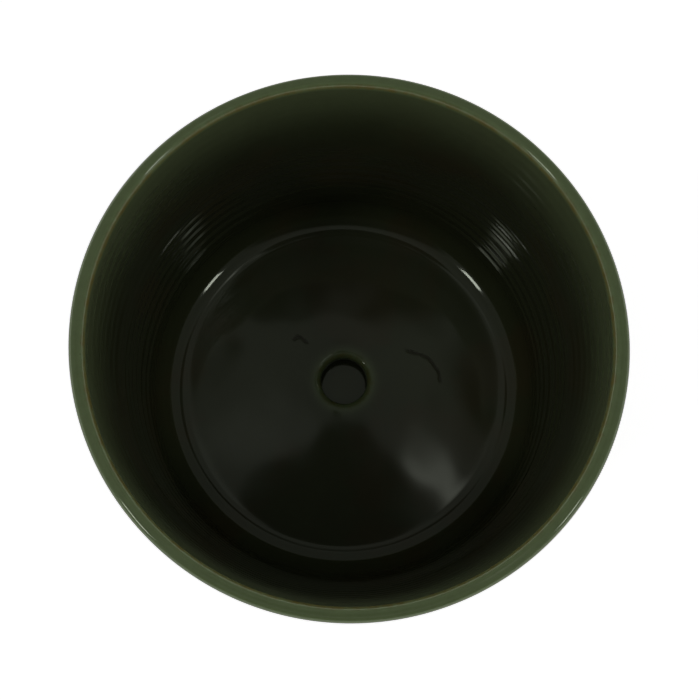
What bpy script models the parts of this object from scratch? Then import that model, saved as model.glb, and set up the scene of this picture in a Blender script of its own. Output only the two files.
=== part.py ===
"""A glazed clay plant pot with a drainage hole, standing in its saucer.

Metres, +Z up. The origin is the centre of the saucer's underside, on the table. Both pieces are turned about
the Z axis. The pot lifts straight up off the saucer, so its own origin is on that axis, at its foot.
"""

import math

import bmesh
import bpy
from mathutils import Vector

# Pot. Heights are above its own foot.
POT_RADIUS = 0.0801  # where the outer wall would meet the top of the lip
POT_WALL = 0.0048  # at the lip
POT_BASE_RADIUS = 0.0790  # outside, where the wall would meet the underside
INNER_DEPTH = 0.1043  # from the lip to the floor
INNER_FLOOR_RADIUS = 0.0744  # where the inner wall would meet the floor
POT_FLOOR = 0.0052  # thickness
FOOT_HEIGHT = 0.0045  # hollow under the floor
FOOT_RADIUS = 0.0650
FOOT_WIDTH = 0.0050
FOOT_REVEAL = 0.0030  # from the foot up to the underside of the wall
HOLE_RADIUS = 0.0093
HOLE_OFFSET = 0.0022  # the hole was cut by hand, a little toward +Y
HOLE_REACH = 0.0150  # the profile within this radius belongs to the hole
HOLE_ROUNDING = 0.0026  # at the floor
HOLE_UNDER_ROUNDING = 0.0010
FLOOR_ROUNDING = 0.0110  # from the floor up to the wall
INNER_LIP_ROUNDING = 0.0020
OUTER_LIP_ROUNDING = 0.0022
HEEL_ROUNDING = 0.0120  # from the outer wall down to the underside
FOOT_ROUNDING = 0.0006
UNDER_FLOOR_ROUNDING = 0.0020  # from the foot up to the underside of the floor

POT_HEIGHT = FOOT_HEIGHT + POT_FLOOR + INNER_DEPTH
FLOOR_TOP = FOOT_HEIGHT + POT_FLOOR

# Saucer. Heights are above the table.
SAUCER_RADIUS = 0.0892  # where the outer wall would meet the top of the lip
SAUCER_HEIGHT = 0.0210
SAUCER_WALL = 0.0046
SAUCER_FLOOR = 0.0045  # thickness
BASIN_RADIUS = 0.0810  # where the inner wall would meet the floor
SAUCER_BELLY_RADIUS = 0.0846  # outside, where the wall meets the underside
SAUCER_BELLY_HEIGHT = 0.0028
SAUCER_FOOT_RADIUS = 0.0670
SAUCER_FOOT_WIDTH = 0.0050
SAUCER_RECESS = 0.0015  # hollow inside the foot ring
BASIN_ROUNDING = 0.0060  # from the floor up to the wall
SAUCER_LIP_ROUNDING = 0.0021
SAUCER_BELLY_ROUNDING = 0.0080
SAUCER_FOOT_ROUNDING = 0.0005
SAUCER_RECESS_ROUNDING = 0.0006

SEAT_GAP = 0.0003  # between the pot's foot and the saucer's floor

SEGMENTS = 64  # round the axis
ARC_STEP = math.radians(30)  # the most that one edge of a rounded corner turns
MERGE = 0.00001  # points closer than this are one
SHARP_ANGLE = math.radians(40)  # steeper edges are shaded sharp

GLAZE_GREEN = (0.022, 0.034, 0.014, 1.0)
GLAZE_ROUGHNESS = 0.08


def clear_scene():
    for old in list(bpy.data.objects):
        bpy.data.objects.remove(old, do_unlink=True)


def glaze(name):
    """Glossy dark green glaze."""
    material = bpy.data.materials.new(name)
    material.use_nodes = True
    shader = material.node_tree.nodes["Principled BSDF"]
    shader.inputs["Base Color"].default_value = GLAZE_GREEN
    shader.inputs["Roughness"].default_value = GLAZE_ROUGHNESS
    shader.inputs["Metallic"].default_value = 0.0
    return material


def rounded(corner, before, after):
    """The points of an arc that rounds a corner. A corner is (radius, height, radius of its rounding)."""
    point, fillet = Vector(corner[:2]), corner[2]
    if fillet == 0:
        return [point]
    back = (Vector(before[:2]) - point).normalized()
    ahead = (Vector(after[:2]) - point).normalized()
    half = back.angle(ahead) / 2
    centre = point + (back + ahead).normalized() * fillet / math.sin(half)
    start = point + back * fillet / math.tan(half) - centre
    turn = math.pi - 2 * half
    steps = max(2, math.ceil(turn / ARC_STEP))
    side = math.copysign(1, back.x * ahead.y - back.y * ahead.x)
    arc = []
    for step in range(steps + 1):
        angle = -side * turn * step / steps
        arc.append(
            centre
            + Vector(
                (
                    start.x * math.cos(angle) - start.y * math.sin(angle),
                    start.x * math.sin(angle) + start.y * math.cos(angle),
                )
            )
        )
    return arc


def outline(corners, closed):
    """The whole profile. An open one starts and ends on the axis."""
    points = []
    for index, corner in enumerate(corners):
        if not closed and index in (0, len(corners) - 1):
            points.append(Vector(corner[:2]))
            continue
        after = corners[(index + 1) % len(corners)]
        points += rounded(corner, corners[index - 1], after)
    return points


def turned(name, corners, closed, material):
    """A solid turned about the Z axis from a profile in the XZ plane."""
    shape = bmesh.new()
    points = [shape.verts.new((p.x, 0, p.y)) for p in outline(corners, closed)]
    edges = [shape.edges.new(pair) for pair in zip(points, points[1:])]
    if closed:
        edges.append(shape.edges.new((points[-1], points[0])))
    bmesh.ops.spin(
        shape,
        geom=points + edges,
        cent=(0, 0, 0),
        axis=(0, 0, 1),
        angle=math.tau,
        steps=SEGMENTS,
        use_merge=True,
    )
    bmesh.ops.remove_doubles(shape, verts=shape.verts[:], dist=MERGE)
    bmesh.ops.recalc_face_normals(shape, faces=shape.faces[:])
    mesh = bpy.data.meshes.new(name)
    shape.to_mesh(mesh)
    shape.free()
    mesh.shade_smooth()
    mesh.set_sharp_from_angle(angle=SHARP_ANGLE)
    mesh.materials.append(material)
    body = bpy.data.objects.new(name, mesh)
    bpy.context.scene.collection.objects.link(body)
    return body


def make_saucer():
    """A shallow dish with a flared wall, a rounded lip and a foot ring."""
    floor_top = SAUCER_RECESS + SAUCER_FLOOR
    inner_lip = SAUCER_RADIUS - SAUCER_WALL
    inner_foot = SAUCER_FOOT_RADIUS - SAUCER_FOOT_WIDTH
    corners = [
        (0, floor_top, 0),
        (BASIN_RADIUS, floor_top, BASIN_ROUNDING),
        (inner_lip, SAUCER_HEIGHT, SAUCER_LIP_ROUNDING),
        (SAUCER_RADIUS, SAUCER_HEIGHT, SAUCER_LIP_ROUNDING),
        (SAUCER_BELLY_RADIUS, SAUCER_BELLY_HEIGHT, SAUCER_BELLY_ROUNDING),
        (SAUCER_FOOT_RADIUS, SAUCER_RECESS, SAUCER_RECESS_ROUNDING),
        (SAUCER_FOOT_RADIUS, 0, SAUCER_FOOT_ROUNDING),
        (inner_foot, 0, SAUCER_FOOT_ROUNDING),
        (inner_foot, SAUCER_RECESS, SAUCER_RECESS_ROUNDING),
        (0, SAUCER_RECESS, 0),
    ]
    return turned("saucer", corners, False, glaze("saucer_glaze"))


def make_pot():
    """An open, nearly straight-sided pot with a rounded lip, a drainage hole and a foot ring."""
    inner_foot = FOOT_RADIUS - FOOT_WIDTH
    corners = [
        (HOLE_RADIUS, FLOOR_TOP, HOLE_ROUNDING),
        (INNER_FLOOR_RADIUS, FLOOR_TOP, FLOOR_ROUNDING),
        (POT_RADIUS - POT_WALL, POT_HEIGHT, INNER_LIP_ROUNDING),
        (POT_RADIUS, POT_HEIGHT, OUTER_LIP_ROUNDING),
        (POT_BASE_RADIUS, FOOT_REVEAL, HEEL_ROUNDING),
        (FOOT_RADIUS, FOOT_REVEAL, FOOT_ROUNDING),
        (FOOT_RADIUS, 0, FOOT_ROUNDING),
        (inner_foot, 0, FOOT_ROUNDING),
        (inner_foot, FOOT_HEIGHT, UNDER_FLOOR_ROUNDING),
        (HOLE_RADIUS, FOOT_HEIGHT, HOLE_UNDER_ROUNDING),
    ]
    pot = turned("pot", corners, True, glaze("pot_glaze"))
    for vertex in pot.data.vertices:
        if math.hypot(vertex.co.x, vertex.co.y) < HOLE_REACH:
            vertex.co.y += HOLE_OFFSET
    pot.location.z = SAUCER_RECESS + SAUCER_FLOOR + SEAT_GAP
    return pot


clear_scene()
make_saucer()
make_pot()
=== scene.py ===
"""The looks of a glazed clay plant pot standing in its saucer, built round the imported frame.

Metres, +Z up. Both pieces are turned about the Z axis. Each is one fine mesh with the marks of throwing in
its surface, and stands for its CAD node.
"""

import math

import bmesh
import bpy
import numpy as np
from mathutils import Matrix, Vector


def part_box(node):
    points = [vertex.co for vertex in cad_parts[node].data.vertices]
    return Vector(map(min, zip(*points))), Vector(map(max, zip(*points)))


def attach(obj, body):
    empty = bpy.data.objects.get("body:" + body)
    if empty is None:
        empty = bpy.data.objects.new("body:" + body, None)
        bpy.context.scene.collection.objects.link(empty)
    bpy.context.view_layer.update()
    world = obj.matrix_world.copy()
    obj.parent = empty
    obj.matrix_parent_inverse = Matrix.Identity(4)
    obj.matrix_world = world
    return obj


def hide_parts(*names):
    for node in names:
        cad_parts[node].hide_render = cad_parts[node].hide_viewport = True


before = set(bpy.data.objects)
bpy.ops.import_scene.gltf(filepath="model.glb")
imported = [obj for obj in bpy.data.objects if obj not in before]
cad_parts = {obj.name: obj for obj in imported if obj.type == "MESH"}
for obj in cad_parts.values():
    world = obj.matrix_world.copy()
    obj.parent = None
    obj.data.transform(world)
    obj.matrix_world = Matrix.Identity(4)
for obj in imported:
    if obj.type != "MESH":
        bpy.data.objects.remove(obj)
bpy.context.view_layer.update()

MM = 0.001
MERGE = 0.001 * MM  # points closer than this are one

# ------------------------------------------------------------------------------------- driving sizes

# Pot. Its foot, lip and radius come from the frame.
POT_LOW, POT_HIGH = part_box("pot")
POT_FOOT_Z = POT_LOW[2]
LIP_Z = POT_HIGH[2]
POT_RADIUS = POT_HIGH[0]
POT_WALL = 4.8 * MM
POT_BASE_RADIUS = 79.0 * MM
INNER_DEPTH = 104.3 * MM
INNER_FLOOR_RADIUS = 74.4 * MM
FLOOR_Z = LIP_Z - INNER_DEPTH
UNDER_FLOOR_Z = POT_FOOT_Z + 4.5 * MM
POT_SHOULDER_Z = POT_FOOT_Z + 3.0 * MM
POT_FOOT_RADIUS = 65.0 * MM
POT_FOOT_WIDTH = 5.0 * MM
HOLE_RADIUS = 9.3 * MM
HOLE_OFFSET = 2.2 * MM
HOLE_ROUNDING = 2.6 * MM  # at the floor
HOLE_UNDER_ROUNDING = 1.0 * MM
FLOOR_ROUNDING = 11.0 * MM  # from the floor up to the wall
INNER_LIP_ROUNDING = 2.0 * MM
OUTER_LIP_ROUNDING = 2.2 * MM
HEEL_ROUNDING = 12.0 * MM
POT_FOOT_ROUNDING = 0.6 * MM
UNDER_FLOOR_ROUNDING = 2.0 * MM

# Saucer. Its foot, lip and radius come from the frame.
SAUCER_LOW, SAUCER_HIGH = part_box("saucer")
SAUCER_Z = SAUCER_LOW[2]
SAUCER_LIP_Z = SAUCER_HIGH[2]
SAUCER_LIP_CUT = 0.64 * MM  # what the rounding takes off the lip's radius
SAUCER_RADIUS = SAUCER_HIGH[0] + SAUCER_LIP_CUT  # where the flared wall would meet the top of the lip
SAUCER_WALL = 4.6 * MM
BASIN_RADIUS = 81.0 * MM
SAUCER_BELLY_RADIUS = 84.6 * MM
SAUCER_BELLY_Z = SAUCER_Z + 2.8 * MM
SAUCER_FOOT_RADIUS = 67.0 * MM
SAUCER_FOOT_WIDTH = 5.0 * MM
SAUCER_RECESS_Z = SAUCER_Z + 1.5 * MM
BASIN_Z = SAUCER_RECESS_Z + 4.5 * MM
BASIN_ROUNDING = 6.0 * MM  # from the floor up to the wall
SAUCER_LIP_ROUNDING = 2.1 * MM
SAUCER_BELLY_ROUNDING = 8.0 * MM
SAUCER_FOOT_ROUNDING = 0.5 * MM
SAUCER_RECESS_ROUNDING = 0.6 * MM

# ------------------------------------------------------------------------------------------ outlines


def rounded(corner, before, after, edge):
    """The arc that rounds a corner, which is (radius, height, rounding), in edges of about this length."""
    point, rounding = Vector(corner[:2]), corner[2]
    back = (Vector(before[:2]) - point).normalized()
    ahead = (Vector(after[:2]) - point).normalized()
    half = back.angle(ahead) / 2
    centre = point + (back + ahead).normalized() * rounding / math.sin(half)
    start = point + back * rounding / math.tan(half) - centre
    turn = math.pi - 2 * half
    steps = max(3, math.ceil(turn * rounding / edge))
    side = -math.copysign(1, back.x * ahead.y - back.y * ahead.x)
    arc = []
    for index in range(steps + 1):
        angle = side * turn * index / steps
        cos, sin = math.cos(angle), math.sin(angle)
        arc.append(centre + Vector((start.x * cos - start.y * sin, start.x * sin + start.y * cos)))
    return arc


def outline(corners, closed):
    """Points (radius, height) along the rounded outline, with its straight stretches cut up.

    A corner is (radius, height, rounding, edge length on the rounding, edge length on the stretch after).
    """
    arcs = []
    for index, corner in enumerate(corners):
        if corner[2] == 0:
            arcs.append([Vector(corner[:2])])
            continue
        after = corners[(index + 1) % len(corners)]
        arcs.append(rounded(corner, corners[index - 1], after, corner[3]))
    points = []
    for index, arc in enumerate(arcs):
        points += arc
        if index == len(arcs) - 1 and not closed:
            break
        start, end = arc[-1], arcs[(index + 1) % len(arcs)][0]
        pieces = max(1, round((end - start).length / corners[index][4]))
        points += [start.lerp(end, part / pieces) for part in range(1, pieces)]
    return np.array([tuple(point) for point in points])


def outward_normals(points, closed):
    """Unit normals of the outline, pointing out of the clay, which lies on the right of its run."""
    if closed:
        along = np.roll(points, -1, axis=0) - np.roll(points, 1, axis=0)
    else:
        along = np.gradient(points, axis=0)
    along /= np.linalg.norm(along, axis=1, keepdims=True)
    return np.stack([-along[:, 1], along[:, 0]], axis=1)


def smooth_step(low, high, value):
    part = np.clip((value - low) / (high - low), 0, 1)
    return part * part * (3 - 2 * part)


def eased(points, zone, rounds):
    """Softens the outline where zone is true, so that a rounding starts and ends gently."""
    points = points.copy()
    for _ in range(rounds):
        middle = (np.roll(points, 1, axis=0) + np.roll(points, -1, axis=0)) / 2
        points = np.where(zone, middle, points)
    return points


def near(points, place, reach):
    """1 at a place on the outline, falling off over the reach."""
    return np.exp(-np.sum((points - np.array(place)) ** 2, axis=1, keepdims=True) / reach**2)


# ------------------------------------------------------------------------------------- turned meshes


def waves(angle, place, seed, count, shortest, longest, most_turns):
    """Smooth noise round and along a turned piece, mostly within -1 to 1. Lengths are in metres."""
    draw = np.random.default_rng(seed)
    total = 0
    for _ in range(count):
        turns = draw.integers(-most_turns, most_turns + 1)
        rate = math.tau / draw.uniform(shortest, longest)
        total = total + np.cos(turns * angle + rate * place + draw.uniform(0, math.tau))
    return total / math.sqrt(count)


def ripples(across, back, seed, count, shortest, longest):
    """Smooth noise over a flat face, mostly within -1 to 1. Lengths are in metres."""
    draw = np.random.default_rng(seed)
    total = 0
    for _ in range(count):
        heading = draw.uniform(0, math.tau)
        rate = math.tau / draw.uniform(shortest, longest)
        along = across * math.cos(heading) + back * math.sin(heading)
        total = total + np.cos(rate * along + draw.uniform(0, math.tau))
    return total / math.sqrt(count)


def throwing_rings(angle, place, low_pitch, high_pitch, length, seed):
    """The ridge that a finger leaves as it rises up the clay: one helix of uneven depth, from 0 to 1.

    It is steep on its upper side.
    """
    part = np.clip(place / length, 0, 1)
    turns = length / (high_pitch - low_pitch) * np.log1p((high_pitch / low_pitch - 1) * part)
    wander = 0.12 * waves(angle, place, seed, 6, 4 * low_pitch, 10 * low_pitch, 2)
    phase = math.tau * (turns + wander) - angle
    depth = 0.85 + 0.2 * waves(angle, place, seed + 1, 6, 3 * low_pitch, 8 * low_pitch, 3)
    return np.clip(depth, 0.3, 1.2) * (0.5 + 0.5 * np.sin(phase - 0.5 * np.sin(phase)))


def turned_piece(name, points, closed, relief, masks, sideways=0):
    """A mesh turned about Z.

    relief says how far out of the clay each point goes at each angle. masks are numbers from 0 to 1 that
    the material reads by name. sideways shifts each ring along Y.
    """
    segments = relief.shape[1]
    angle = np.arange(segments) * math.tau / segments
    normals = outward_normals(points, closed)
    rows = len(points)
    radius = points[:, :1] + normals[:, :1] * relief
    height = points[:, 1:] + normals[:, 1:] * relief
    spots = np.stack([radius * np.cos(angle), radius * np.sin(angle) + sideways, height], axis=2)
    row = np.arange(rows if closed else rows - 1)[:, None]
    column = np.arange(segments)[None, :]
    next_row, next_column = (row + 1) % rows, (column + 1) % segments
    corners = [(row, column), (next_row, column), (next_row, next_column), (row, next_column)]
    faces = np.stack([(r * segments + c).ravel() for r, c in corners], axis=1)
    mesh = bpy.data.meshes.new(name)
    mesh.from_pydata(spots.reshape(-1, 3).tolist(), [], faces.tolist())
    for mask, values in masks.items():
        layer = mesh.attributes.new(mask, "FLOAT", "POINT")
        filled = np.broadcast_to(values, relief.shape).astype(np.float32)
        layer.data.foreach_set("value", filled.ravel())
    if not closed:
        shape = bmesh.new()
        shape.from_mesh(mesh)
        bmesh.ops.remove_doubles(shape, verts=shape.verts[:], dist=MERGE)
        shape.to_mesh(mesh)
        shape.free()
    mesh.shade_smooth()
    piece = bpy.data.objects.new(name, mesh)
    bpy.context.scene.collection.objects.link(piece)
    return piece


# ------------------------------------------------------------------------------------ material tools


def node(tree, kind, inputs=None, **settings):
    """A shader node. Its inputs are values or other nodes' outputs, by name or number."""
    made = tree.nodes.new("ShaderNode" + kind)
    for key, value in settings.items():
        setattr(made, key, value)
    for key, value in (inputs or {}).items():
        if isinstance(value, bpy.types.NodeSocket):
            tree.links.new(value, made.inputs[key])
        else:
            made.inputs[key].default_value = value
    return made


def arith(tree, operation, first, second=0.0, third=0.0, clamp=False):
    inputs = {0: first, 1: second, 2: third}
    return node(tree, "Math", inputs, operation=operation, use_clamp=clamp).outputs[0]


def remap(tree, value, low, high, to_low=0.0, to_high=1.0):
    """A smooth step from one range of values to another."""
    inputs = {"Value": value, "From Min": low, "From Max": high, "To Min": to_low, "To Max": to_high}
    return node(tree, "MapRange", inputs, interpolation_type="SMOOTHSTEP").outputs[0]


def blend(tree, factor, first, second):
    """A colour between two colours."""
    return node(tree, "Mix", {0: factor, 6: first, 7: second}, data_type="RGBA").outputs[2]


def noise(tree, where, size, detail=3.0, roughness=0.5):
    """Noise from 0 to 1 whose lumps are about this size in metres."""
    inputs = {"Vector": where, "Scale": 1 / size, "Detail": detail, "Roughness": roughness}
    return node(tree, "TexNoise", inputs).outputs["Fac"]


def dots(tree, where, spacing, radius, share):
    """1 in small dots. The spacing and the radius are in metres; a share of the dots is kept."""
    cells = node(tree, "TexVoronoi", {"Vector": where, "Scale": 1 / spacing}, feature="F1")
    draw = node(tree, "SeparateColor", {0: cells.outputs["Color"]}).outputs[0]
    kept = arith(tree, "LESS_THAN", draw, share)
    edge = radius / spacing
    round_dot = remap(tree, cells.outputs["Distance"], 0.4 * edge, edge, 1.0, 0.0)
    return arith(tree, "MULTIPLY", round_dot, kept)


def mask(tree, name):
    return node(tree, "Attribute", attribute_name=name).outputs["Fac"]


# -------------------------------------------------------------------------------------------- glazes


def crease(tree, where, arc):
    """1 in a hairline along an arc on a level face: (centre, radius, middle heading, half its turn)."""
    centre, radius, heading, half_turn = arc
    offset = node(tree, "VectorMath", {0: where, 1: centre}, operation="SUBTRACT").outputs[0]
    level = node(tree, "VectorMath", {0: offset, 1: (1, 1, 0)}, operation="MULTIPLY").outputs[0]
    distance = node(tree, "VectorMath", {0: level}, operation="LENGTH").outputs["Value"]
    wobble = noise(tree, where, 5 * MM, 3)
    wobble = arith(tree, "MULTIPLY_ADD", wobble, CREASE_WOBBLE, -CREASE_WOBBLE / 2)
    off_line = arith(tree, "ADD", distance, arith(tree, "SUBTRACT", wobble, radius))
    line = remap(tree, arith(tree, "ABSOLUTE", off_line), *CREASE_WIDTH, 1.0, 0.0)
    turn, half = math.radians(heading), math.radians(half_turn)
    ahead = (math.cos(turn), math.sin(turn), 0)
    unit = node(tree, "VectorMath", {0: level}, operation="NORMALIZE").outputs[0]
    facing = node(tree, "VectorMath", {0: unit, 1: ahead}, operation="DOT_PRODUCT").outputs["Value"]
    line = arith(tree, "MULTIPLY", line, remap(tree, facing, math.cos(half), math.cos(0.7 * half)))
    above = arith(tree, "ABSOLUTE", node(tree, "SeparateXYZ", {0: offset}).outputs["Z"])
    return arith(tree, "MULTIPLY", line, remap(tree, above, 1 * MM, 2 * MM, 1.0, 0.0))


GREEN_PALE = (0.156, 0.210, 0.092, 1)
GREEN = (0.079, 0.100, 0.046, 1)
# The two darker greens are glaze pooled thick, random darker mottle, and painted shade deep inside the pot
# and the saucer's basin
GREEN_DARK = (0.052, 0.060, 0.028, 1)
OLIVE_DARK = (0.060, 0.056, 0.026, 1)
BROWN_BREAK = (0.160, 0.125, 0.032, 1)
IRON_SPECK = (0.020, 0.013, 0.006, 1)
CLAY = (0.330, 0.215, 0.130, 1)
CLAY_DARK = (0.215, 0.130, 0.074, 1)
CLAY_GROG = (0.120, 0.070, 0.040, 1)
GLAZE_IOR = 1.5
GLAZE_TINT = (0.93, 1.0, 0.84, 1)
POOLED_OUTSIDE = 0.6  # how thick the glaze is on the outer walls
CREASE_WIDTH = (0.2 * MM, 1.0 * MM)  # off its middle, where it starts and ends fading
CREASE_WOBBLE = 3 * MM
PEEL, SWELL, PIT, GRIT = 0.0005, 0.012, -0.05, 0.14  # millimetres


def glaze(name, place, creases=()):
    """Dark green gloss glaze that breaks to brown where it is thin, over clay that is bare on the foot.

    place is where the piece lies in the clouds of the glaze, so that no two pieces look alike. creases are
    hairlines in the glaze, as arcs.
    """
    material = bpy.data.materials.new(name)
    material.use_nodes = True
    tree = material.node_tree
    shader = tree.nodes["Principled BSDF"]
    shader.inputs["IOR"].default_value = GLAZE_IOR
    shader.inputs["Specular Tint"].default_value = GLAZE_TINT
    where = node(tree, "TexCoord").outputs["Object"]
    where = node(tree, "Mapping", {"Vector": where, "Location": place}).outputs[0]
    clouds = noise(tree, where, 24 * MM, 4)
    mottle = noise(tree, where, 3.0 * MM, 5, 0.62)
    grain = noise(tree, where, 0.5 * MM, 4, 0.65)

    # Colour: pooled and thin glaze, in clouds, with painted shade that darkens the glaze deeper inside
    uneven = arith(tree, "MULTIPLY_ADD", clouds, 0.8, -0.4)
    # Painted shade: this mask darkens the glaze towards the bottom inside, where less light reaches, and
    # also marks where glaze pools
    pooled_and_shaded = arith(tree, "ADD", mask(tree, "pooled_glaze_and_shade"), uneven, clamp=True)
    hue = remap(tree, noise(tree, where, 32 * MM, 3), 0.48, 0.64)
    colour = blend(tree, pooled_and_shaded, GREEN, blend(tree, hue, GREEN_DARK, OLIVE_DARK))
    colour = blend(tree, mask(tree, "lip"), colour, GREEN_PALE)
    fine = remap(tree, mottle, 0.35, 0.70, 0.0, 0.12)
    colour = blend(tree, fine, colour, GREEN_DARK)

    # The brown break on edges, ragged at its borders
    ragged = arith(tree, "MULTIPLY_ADD", mottle, 0.9, -0.45)
    broken = arith(tree, "ADD", mask(tree, "thin"), ragged)
    broken = remap(tree, broken, 0.30, 0.85, 0.0, 0.9)
    colour = blend(tree, broken, colour, BROWN_BREAK)

    specks = dots(tree, where, 4.5 * MM, 0.22 * MM, 0.25)
    colour = blend(tree, arith(tree, "MULTIPLY", specks, 0.5), colour, IRON_SPECK)
    pinholes = dots(tree, where, 14 * MM, 0.16 * MM, 0.3)
    colour = blend(tree, arith(tree, "MULTIPLY", pinholes, 0.8), colour, IRON_SPECK)
    hairline = 0.0
    for arc in creases:
        hairline = arith(tree, "MAXIMUM", hairline, crease(tree, where, arc))
    colour = blend(tree, arith(tree, "MULTIPLY", hairline, 0.7), colour, IRON_SPECK)

    # Bare clay
    border = arith(tree, "MULTIPLY_ADD", mottle, 0.5, -0.25)
    bare = arith(tree, "ADD", mask(tree, "bare"), border)
    bare = remap(tree, bare, 0.46, 0.54)
    clay = blend(tree, mottle, CLAY_DARK, CLAY)
    grog = dots(tree, where, 1.3 * MM, 0.3 * MM, 0.4)
    clay = blend(tree, grog, clay, CLAY_GROG)
    colour = blend(tree, bare, colour, clay)
    tree.links.new(colour, shader.inputs["Base Color"])

    # Gloss
    gloss = remap(tree, clouds, 0.3, 0.7, 0.055, 0.080)
    gloss = arith(tree, "MULTIPLY_ADD", broken, 0.06, gloss)
    dull = remap(tree, grain, 0.3, 0.7, 0.72, 0.92)
    gloss = arith(tree, "MULTIPLY_ADD", hairline, 0.3, gloss)
    rough = node(tree, "Mix", {0: bare, 2: gloss, 3: dull}, data_type="FLOAT").outputs[0]
    tree.links.new(rough, shader.inputs["Roughness"])

    # Surface, in millimetres: the glaze's orange peel and pinholes, and the grit of bare clay
    peel = arith(tree, "MULTIPLY", noise(tree, where, 2.2 * MM, 2), PEEL)
    swell = arith(tree, "MULTIPLY", noise(tree, where, 14 * MM, 1), SWELL)
    skin = arith(tree, "ADD", peel, swell)
    skin = arith(tree, "MULTIPLY_ADD", arith(tree, "MAXIMUM", pinholes, hairline), PIT, skin)
    grit = arith(tree, "MULTIPLY", grain, GRIT)
    height = node(tree, "Mix", {0: bare, 2: skin, 3: grit}, data_type="FLOAT").outputs[0]
    bump = node(tree, "Bump", {"Height": height, "Distance": MM, "Strength": 1.0})
    tree.links.new(bump.outputs[0], shader.inputs["Normal"])
    return material


# ----------------------------------------------------------------------------------------------- pot

POT_SEGMENTS = 300
RING_DEPTH = 0.50 * MM
OUTER_RING_DEPTH = 0.09 * MM
WALL_WAVE = 0.10 * MM
OUTER_WAVE = 0.06 * MM
FLOOR_RIPPLE = 0.016 * MM
LIP_DIP = 0.10 * MM
HOLE_WAVE = 0.03 * MM
EASING = 5  # rounds
FLOOR_SWELLS = [  # where, how wide, how high
    ((2 * MM, 30 * MM), 11 * MM, 0.30 * MM),
    ((-31 * MM, 19 * MM), 11 * MM, 0.28 * MM),
    ((34 * MM, 20 * MM), 11 * MM, -0.14 * MM),
]
FLOOR_CREASES = [  # centre, radius, middle heading, half of its turn
    ((24.0 * MM, -1.0 * MM, FLOOR_Z), 15.9 * MM, 47, 41),
    ((-18.3 * MM, 16.0 * MM, FLOOR_Z), 3.8 * MM, 77, 62),
]


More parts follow.
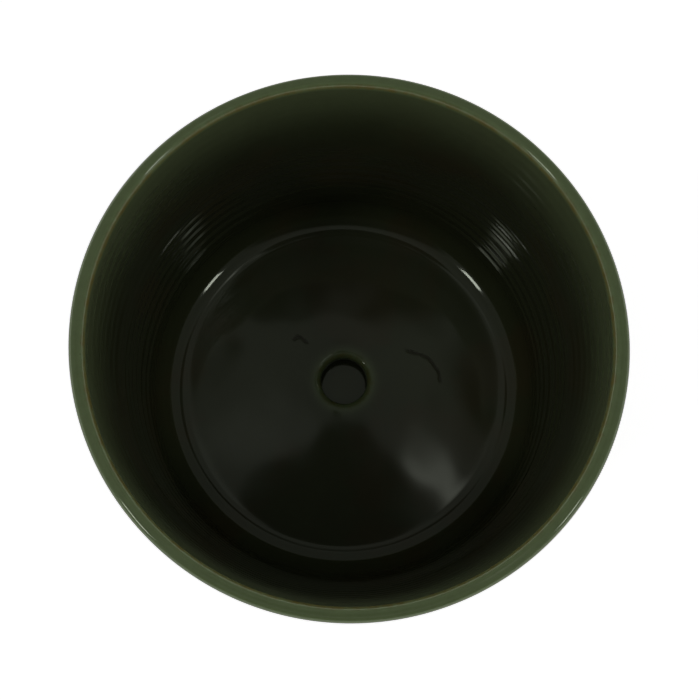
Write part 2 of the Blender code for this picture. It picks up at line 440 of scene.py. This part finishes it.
def make_pot():
    inner_foot = POT_FOOT_RADIUS - POT_FOOT_WIDTH
    inner_lip = POT_RADIUS - POT_WALL
    corners = [
        (HOLE_RADIUS, FLOOR_Z, HOLE_ROUNDING, 0.5 * MM, 1.0 * MM),
        (INNER_FLOOR_RADIUS, FLOOR_Z, FLOOR_ROUNDING, 0.9 * MM, 0.9 * MM),
        (inner_lip, LIP_Z, INNER_LIP_ROUNDING, 0.3 * MM, 0.3 * MM),
        (POT_RADIUS, LIP_Z, OUTER_LIP_ROUNDING, 0.3 * MM, 1.7 * MM),
        (POT_BASE_RADIUS, POT_SHOULDER_Z, HEEL_ROUNDING, 1.5 * MM, 3.0 * MM),
        (POT_FOOT_RADIUS, POT_SHOULDER_Z, POT_FOOT_ROUNDING, 0.4 * MM, 1.0 * MM),
        (POT_FOOT_RADIUS, POT_FOOT_Z, POT_FOOT_ROUNDING, 0.3 * MM, 1.3 * MM),
        (inner_foot, POT_FOOT_Z, POT_FOOT_ROUNDING, 0.3 * MM, 1.0 * MM),
        (inner_foot, UNDER_FLOOR_Z, UNDER_FLOOR_ROUNDING, 0.8 * MM, 3.5 * MM),
        (HOLE_RADIUS, UNDER_FLOOR_Z, HOLE_UNDER_ROUNDING, 0.5 * MM, 0.8 * MM),
    ]
    points = outline(corners, True)
    inner_foot_of_wall = near(points, (INNER_FLOOR_RADIUS, FLOOR_Z), 13 * MM) > 0.3
    points = eased(points, inner_foot_of_wall & (points[:, 1:] > FLOOR_Z - 1 * MM), EASING)
    normals = outward_normals(points, True)
    angle = (np.arange(POT_SEGMENTS) * math.tau / POT_SEGMENTS)[None, :]
    radius, height = points[:, :1], points[:, 1:]
    facing_in, facing_up = -normals[:, :1], normals[:, 1:]
    above_floor = height - FLOOR_Z
    beyond_foot = radius > POT_FOOT_RADIUS

    inner_wall = smooth_step(0.5, 0.95, facing_in) * beyond_foot
    inner_wall = inner_wall * (1 - smooth_step(INNER_DEPTH - 6 * MM, INNER_DEPTH - 2 * MM, above_floor))
    outer_wall = smooth_step(0.5, 0.95, -facing_in) * beyond_foot
    hole_rim = HOLE_RADIUS + HOLE_ROUNDING
    floor = smooth_step(0.6, 0.98, facing_up) * (above_floor < 6 * MM) * (radius > hole_rim)
    lip = smooth_step(INNER_DEPTH - 8 * MM, INNER_DEPTH - 1 * MM, above_floor)
    hole = near(points, (HOLE_RADIUS, FLOOR_Z), 4 * MM)

    rings = throwing_rings(angle, above_floor, 7.4 * MM, 4.6 * MM, INNER_DEPTH, 11)
    fading = 1 - 0.7 * smooth_step(46 * MM, 66 * MM, above_floor)
    fading = fading * smooth_step(8 * MM, 20 * MM, above_floor)
    side = np.sin(angle)
    fading = fading * (1 - 0.75 * smooth_step(0.75, 0.93, side) - 0.45 * smooth_step(0.2, 0.8, -side))
    outer_rings = throwing_rings(angle, above_floor, 9.0 * MM, 7.0 * MM, INNER_DEPTH, 21)
    relief = inner_wall * fading * RING_DEPTH * (rings - 0.5)
    relief = relief + inner_wall * WALL_WAVE * waves(angle, above_floor, 31, 6, 40 * MM, 90 * MM, 3)
    relief = relief - outer_wall * OUTER_RING_DEPTH * (1 - outer_rings)
    relief = relief - outer_wall * OUTER_WAVE * (1 + waves(angle, above_floor, 41, 6, 30 * MM, 80 * MM, 3))
    across, back = radius * np.cos(angle), radius * np.sin(angle)
    level = floor * smooth_step(hole_rim, HOLE_RADIUS + 9 * MM, radius)
    relief = relief + level * FLOOR_RIPPLE * ripples(across, back, 51, 9, 14 * MM, 30 * MM)
    for (right, far), reach, swell in FLOOR_SWELLS:
        apart = (across - right) ** 2 + (back - far) ** 2
        relief = relief + level * swell * np.exp(-apart / (2 * reach**2))
    lip_waves = waves(angle, 0 * radius, 61, 5, 40 * MM, 90 * MM, 4)
    relief = relief - lip * LIP_DIP * np.maximum(1 + lip_waves, 0)
    relief = relief + hole * HOLE_WAVE * waves(angle, 0 * radius, 71, 4, 40 * MM, 90 * MM, 6)

    inner_edge = near(points, (inner_lip + 0.3 * MM, LIP_Z - 1.3 * MM), 1.4 * MM)
    outer_edge = near(points, (POT_RADIUS - 0.7 * MM, LIP_Z - 0.7 * MM), 0.9 * MM)
    hole_edge = near(points, (HOLE_RADIUS + 1.0 * MM, FLOOR_Z - 0.6 * MM), 2.8 * MM)
    foot_edge = near(points, (POT_FOOT_RADIUS, POT_FOOT_Z + 1.2 * MM), 1.0 * MM)
    # Painted shade: the glaze is darker deeper inside the pot, partly as pooled glaze and partly as shade
    # painted into its colour
    pooled_glaze_and_shade_inside = smooth_step(INNER_DEPTH, 0.55 * INNER_DEPTH, above_floor)
    masks = {
        "pooled_glaze_and_shade": np.where(facing_in > -0.5, pooled_glaze_and_shade_inside, POOLED_OUTSIDE),
        "lip": np.maximum(smooth_step(LIP_Z - 3.0 * MM, LIP_Z - 0.8 * MM, height), hole_edge),
        "thin": np.clip(0.65 * inner_edge + 0.3 * outer_edge + 0.50 * hole_edge + foot_edge, 0, 1),
        "bare": (height < POT_FOOT_Z + 0.7 * MM) * 1.0,
    }
    sideways = HOLE_OFFSET * (1 - smooth_step(14 * MM, 30 * MM, radius))
    pot = turned_piece("glazed_pot", points, True, relief, masks, sideways)
    pot.data.materials.append(glaze("pot_glaze", (0, 0, 0), FLOOR_CREASES))
    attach(pot, "pot")
    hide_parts("pot")


# -------------------------------------------------------------------------------------------- saucer

SAUCER_SEGMENTS = 256
SAUCER_RING_DEPTH = 0.14 * MM
SAUCER_LIP_DIP = 0.08 * MM


def make_saucer():
    inner_foot = SAUCER_FOOT_RADIUS - SAUCER_FOOT_WIDTH
    inner_lip = SAUCER_RADIUS - SAUCER_WALL
    corners = [
        (0, BASIN_Z, 0, 0, 1.6 * MM),
        (BASIN_RADIUS, BASIN_Z, BASIN_ROUNDING, 0.8 * MM, 0.8 * MM),
        (inner_lip, SAUCER_LIP_Z, SAUCER_LIP_ROUNDING, 0.3 * MM, 0.3 * MM),
        (SAUCER_RADIUS, SAUCER_LIP_Z, SAUCER_LIP_ROUNDING, 0.3 * MM, 0.8 * MM),
        (SAUCER_BELLY_RADIUS, SAUCER_BELLY_Z, SAUCER_BELLY_ROUNDING, 0.9 * MM, 1.6 * MM),
        (SAUCER_FOOT_RADIUS, SAUCER_RECESS_Z, SAUCER_RECESS_ROUNDING, 0.4 * MM, 0.5 * MM),
        (SAUCER_FOOT_RADIUS, SAUCER_Z, SAUCER_FOOT_ROUNDING, 0.3 * MM, 1.3 * MM),
        (inner_foot, SAUCER_Z, SAUCER_FOOT_ROUNDING, 0.3 * MM, 0.5 * MM),
        (inner_foot, SAUCER_RECESS_Z, SAUCER_RECESS_ROUNDING, 0.4 * MM, 3.5 * MM),
        (0, SAUCER_RECESS_Z, 0, 0, 0),
    ]
    points = outline(corners, False)
    normals = outward_normals(points, False)
    angle = (np.arange(SAUCER_SEGMENTS) * math.tau / SAUCER_SEGMENTS)[None, :]
    radius, height = points[:, :1], points[:, 1:]
    facing_out, facing_up = normals[:, :1], normals[:, 1:]
    wall_height = SAUCER_LIP_Z - SAUCER_Z
    above_table = height - SAUCER_Z
    beyond_foot = radius > SAUCER_FOOT_RADIUS + 1 * MM

    basin = smooth_step(0.6, 0.98, facing_up) * (height < BASIN_Z + 2 * MM) * (radius > 1 * MM)
    outer_wall = smooth_step(0.4, 0.95, facing_out) * beyond_foot
    inner_wall = smooth_step(0.4, 0.95, -facing_out) * beyond_foot
    lip = smooth_step(wall_height - 4 * MM, wall_height - 1 * MM, above_table)

    floor_rings = throwing_rings(angle, radius, 9.0 * MM, 8.0 * MM, BASIN_RADIUS, 15)
    wall_rings = throwing_rings(angle, above_table, 6.0 * MM, 5.0 * MM, wall_height, 25)
    relief = -basin * SAUCER_RING_DEPTH * (1 - floor_rings) * smooth_step(4 * MM, 14 * MM, radius)
    relief = relief - (outer_wall + 0.6 * inner_wall) * SAUCER_RING_DEPTH * (1 - wall_rings)
    relief = relief - lip * SAUCER_LIP_DIP * (1 + waves(angle, 0 * radius, 65, 5, 40 * MM, 90 * MM, 4))

    inner_edge = near(points, (inner_lip + 0.7 * MM, SAUCER_LIP_Z - 0.6 * MM), 1.0 * MM)
    outer_edge = near(points, (SAUCER_RADIUS - 0.8 * MM, SAUCER_LIP_Z - 0.7 * MM), 0.9 * MM)
    foot_edge = near(points, (SAUCER_FOOT_RADIUS, SAUCER_Z + 1.1 * MM), 0.8 * MM)
    # Painted shade: the glaze is darker down in the basin under the pot, partly as pooled glaze and partly
    # as shade painted into its colour
    pooled_glaze_and_shade_inside = smooth_step(SAUCER_LIP_Z, BASIN_Z + 3 * MM, height)
    masks = {
        "pooled_glaze_and_shade": np.where(facing_out < 0.5, pooled_glaze_and_shade_inside, POOLED_OUTSIDE),
        "lip": smooth_step(SAUCER_LIP_Z - 2.6 * MM, SAUCER_LIP_Z - 0.7 * MM, height),
        "thin": np.clip(0.75 * inner_edge + 0.4 * outer_edge + foot_edge, 0, 1),
        "bare": (height < SAUCER_Z + 0.6 * MM) * 1.0,
    }
    saucer = turned_piece("glazed_saucer", points, False, relief, masks)
    saucer.data.materials.append(glaze("saucer_glaze", (0.31, 0.17, 0.23)))
    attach(saucer, "saucer")
    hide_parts("saucer")


# ---------------------------------------------------------------------------- table, lights, camera

TABLE_SIZE = 60.0
TABLE_WHITE_GLOW = 0.80  # as the camera sees it
TABLE_GLOW = 0.32  # as the pieces reflect it
TABLE_GAP = 0.2 * MM  # between the table and the saucer's foot
BACKDROP_LIGHT = 1.0  # what the camera sees of the room
HORIZON_LIGHT = 2.35
OVERHEAD_LIGHT = 0.22
WALL_FOOT = 6  # degrees up, below which the bright walls dim
WALL_FOOT_LIGHT = 0.3  # their share of light at the horizon
WALL_TOP = (9, 15)  # degrees up, between which the bright walls end
LEAST_RISE = 0.05  # no direction is taken to be lower than this, so that slopes stay finite
DIMMING = (0.2, 0.6, 0.78)  # slopes between which the ceiling dims, and to what share

# Shapes overhead. Each has its centre, its size, the softness of its edge and its turn in degrees. Centres
# and sizes are slopes from straight up.
RIGHT_PANEL = ((0.132, 0.023), (0.054, 0.026), 0.7, -57)
RIGHT_PANEL_LIGHT = 1.2
LEFT_PANEL = ((-0.075, 0.085), (0.06, 0.035), 0.5, 0)
LEFT_PANEL_LIGHT = 0.12
BACK_WALL = ((0.025, 0.285), (0.20, 0.052), 0.2, -10)  # dark
BACK_WALL_GAP = ((0.02, 0.265), (0.055, 0.04), 0.5, 0)
GAP_LIGHT = 0.5  # the share of the back wall's darkness that the gap takes away
DARK_SHAPES = [
    ((0.016, 0.02), (0.060, 0.086), 0.08, 0),  # the arm of the camera's stand
    ((0.014, -0.05), (0.142, 0.125), 0.05, 0),  # the stand
    ((0, -1.35), (0.95, 0.85), 0.12, 0),  # a curtain in front
    ((-0.230, 0.175), (0.083, 0.055), 0.28, 0),  # a wall on the left
    ((0.235, 0.17), (0.087, 0.105), 0.28, 0),  # a wall on the right
]
DARKNESS = 0.86  # the share of light that the dark shapes and the back wall take away

LIGHT_DISTANCE = 1.1
CAMERA_LENS = 43.25  # millimetres
CAMERA_EYE = (-7.0 * MM, -50.9 * MM, LIP_Z + 232.5 * MM)
CAMERA_AIM = (-0.5 * MM, -5.6 * MM, LIP_Z)


def make_table():
    """A plain white table that runs to the horizon. It glows a little, and to the camera it glows white."""
    bpy.ops.mesh.primitive_plane_add(size=TABLE_SIZE, location=(0, 0, SAUCER_Z - TABLE_GAP))
    table = bpy.context.object
    table.name = "table"
    material = bpy.data.materials.new("table_white")
    material.use_nodes = True
    shader = material.node_tree.nodes["Principled BSDF"]
    shader.inputs["Base Color"].default_value = (0.88, 0.88, 0.88, 1)
    shader.inputs["Roughness"].default_value = 0.7
    shader.inputs["Emission Color"].default_value = (1, 1, 1, 1)
    seen = node(material.node_tree, "LightPath").outputs["Is Camera Ray"]
    glow = arith(material.node_tree, "MULTIPLY_ADD", seen, TABLE_WHITE_GLOW - TABLE_GLOW, TABLE_GLOW)
    material.node_tree.links.new(glow, shader.inputs["Emission Strength"])
    table.data.materials.append(material)


def patch(tree, slope, shape):
    """1 inside an ellipse overhead, 0 outside."""
    centre, size, edge, turn = shape
    offset = node(tree, "VectorMath", {0: slope, 1: (*centre, 0)}, operation="SUBTRACT").outputs[0]
    angle = math.radians(turn)
    inputs = {"Vector": offset, "Angle": -angle}
    turned = node(tree, "VectorRotate", inputs, rotation_type="Z_AXIS").outputs[0]
    scaled = node(tree, "VectorMath", {0: turned, 1: (*size, 1)}, operation="DIVIDE").outputs[0]
    distance = node(tree, "VectorMath", {0: scaled}, operation="LENGTH").outputs["Value"]
    return remap(tree, distance, 1 - edge, 1 + edge, 1.0, 0.0)


def make_world():
    """Bright low walls and a dimmer ceiling, with panels and dark shapes overhead, for the glaze to reflect.

    The camera itself sees a plain white backdrop.
    """
    world = bpy.data.worlds.new("studio")
    bpy.context.scene.world = world
    world.use_nodes = True
    tree = world.node_tree
    direction = node(tree, "TexCoord").outputs["Generated"]
    axes = node(tree, "SeparateXYZ", {0: direction})
    rise = axes.outputs["Z"]
    foot, low, high = (math.sin(math.radians(degrees)) for degrees in (WALL_FOOT, *WALL_TOP))
    light = remap(tree, rise, low, high, HORIZON_LIGHT, OVERHEAD_LIGHT)
    light = arith(tree, "MULTIPLY", light, remap(tree, rise, 0.0, foot, WALL_FOOT_LIGHT, 1.0))
    safe_rise = arith(tree, "MAXIMUM", rise, LEAST_RISE)
    across = arith(tree, "DIVIDE", axes.outputs["X"], safe_rise)
    back = arith(tree, "DIVIDE", axes.outputs["Y"], safe_rise)
    slope = node(tree, "CombineXYZ", {0: across, 1: back}).outputs[0]
    distance = node(tree, "VectorMath", {0: slope}, operation="LENGTH").outputs["Value"]
    near_slope, far_slope, far_share = DIMMING
    light = arith(tree, "MULTIPLY", light, remap(tree, distance, near_slope, far_slope, 1.0, far_share))
    light = arith(tree, "MULTIPLY_ADD", patch(tree, slope, RIGHT_PANEL), RIGHT_PANEL_LIGHT, light)
    light = arith(tree, "MULTIPLY_ADD", patch(tree, slope, LEFT_PANEL), LEFT_PANEL_LIGHT, light)
    unbroken = arith(tree, "MULTIPLY_ADD", patch(tree, slope, BACK_WALL_GAP), -GAP_LIGHT, 1.0)
    dark = arith(tree, "MULTIPLY", patch(tree, slope, BACK_WALL), unbroken)
    for shape in DARK_SHAPES:
        dark = arith(tree, "MAXIMUM", dark, patch(tree, slope, shape))
    light = arith(tree, "MULTIPLY", light, arith(tree, "MULTIPLY_ADD", dark, -DARKNESS, 1.0))
    seen = node(tree, "LightPath").outputs["Is Camera Ray"]
    light = node(tree, "Mix", {0: seen, 2: light, 3: BACKDROP_LIGHT}, data_type="FLOAT").outputs[0]
    background = tree.nodes["Background"]
    background.inputs["Color"].default_value = (1, 1, 1, 1)
    tree.links.new(light, background.inputs["Strength"])


def make_softbox(name, azimuth, elevation, width, height, radiance):
    """A light at these angles from the pot. It looks width by height large from there, in degrees."""
    turn, rise = math.radians(azimuth), math.radians(elevation)
    level = Vector((math.cos(turn), math.sin(turn), 0))
    direction = level * math.cos(rise) + Vector((0, 0, math.sin(rise)))
    lamp = bpy.data.lights.new(name, "AREA")
    lamp.shape = "RECTANGLE"
    lamp.size = 2 * LIGHT_DISTANCE * math.tan(math.radians(width / 2))
    lamp.size_y = 2 * LIGHT_DISTANCE * math.tan(math.radians(height / 2))
    lamp.energy = radiance * math.pi * lamp.size * lamp.size_y
    softbox = bpy.data.objects.new(name, lamp)
    softbox.location = Vector((0, 0, LIP_Z)) + direction * LIGHT_DISTANCE
    softbox.rotation_euler = direction.to_track_quat("Z", "Y").to_euler()
    softbox.visible_camera = False
    bpy.context.scene.collection.objects.link(softbox)


def make_camera():
    camera = bpy.data.cameras.new("camera")
    camera.lens = CAMERA_LENS
    camera.sensor_width = 36
    camera.clip_start = 0.01
    camera.clip_end = 100
    eye = Vector(CAMERA_EYE)
    backward = (eye - Vector(CAMERA_AIM)).normalized()
    right = Vector((0, 1, 0)).cross(backward).normalized()
    up = backward.cross(right)
    turn = Matrix((right, up, backward)).transposed().to_4x4()
    viewer = bpy.data.objects.new("camera", camera)
    viewer.matrix_world = Matrix.Translation(eye) @ turn
    bpy.context.scene.collection.objects.link(viewer)
    bpy.context.scene.camera = viewer


make_pot()
make_saucer()
make_table()
make_world()
make_softbox("softbox_left", azimuth=-149, elevation=46, width=7, height=10, radiance=10)
make_softbox("softbox_right", azimuth=-27, elevation=43, width=6, height=10, radiance=8.5)
make_camera()
bpy.context.scene.view_settings.view_transform = "Standard"
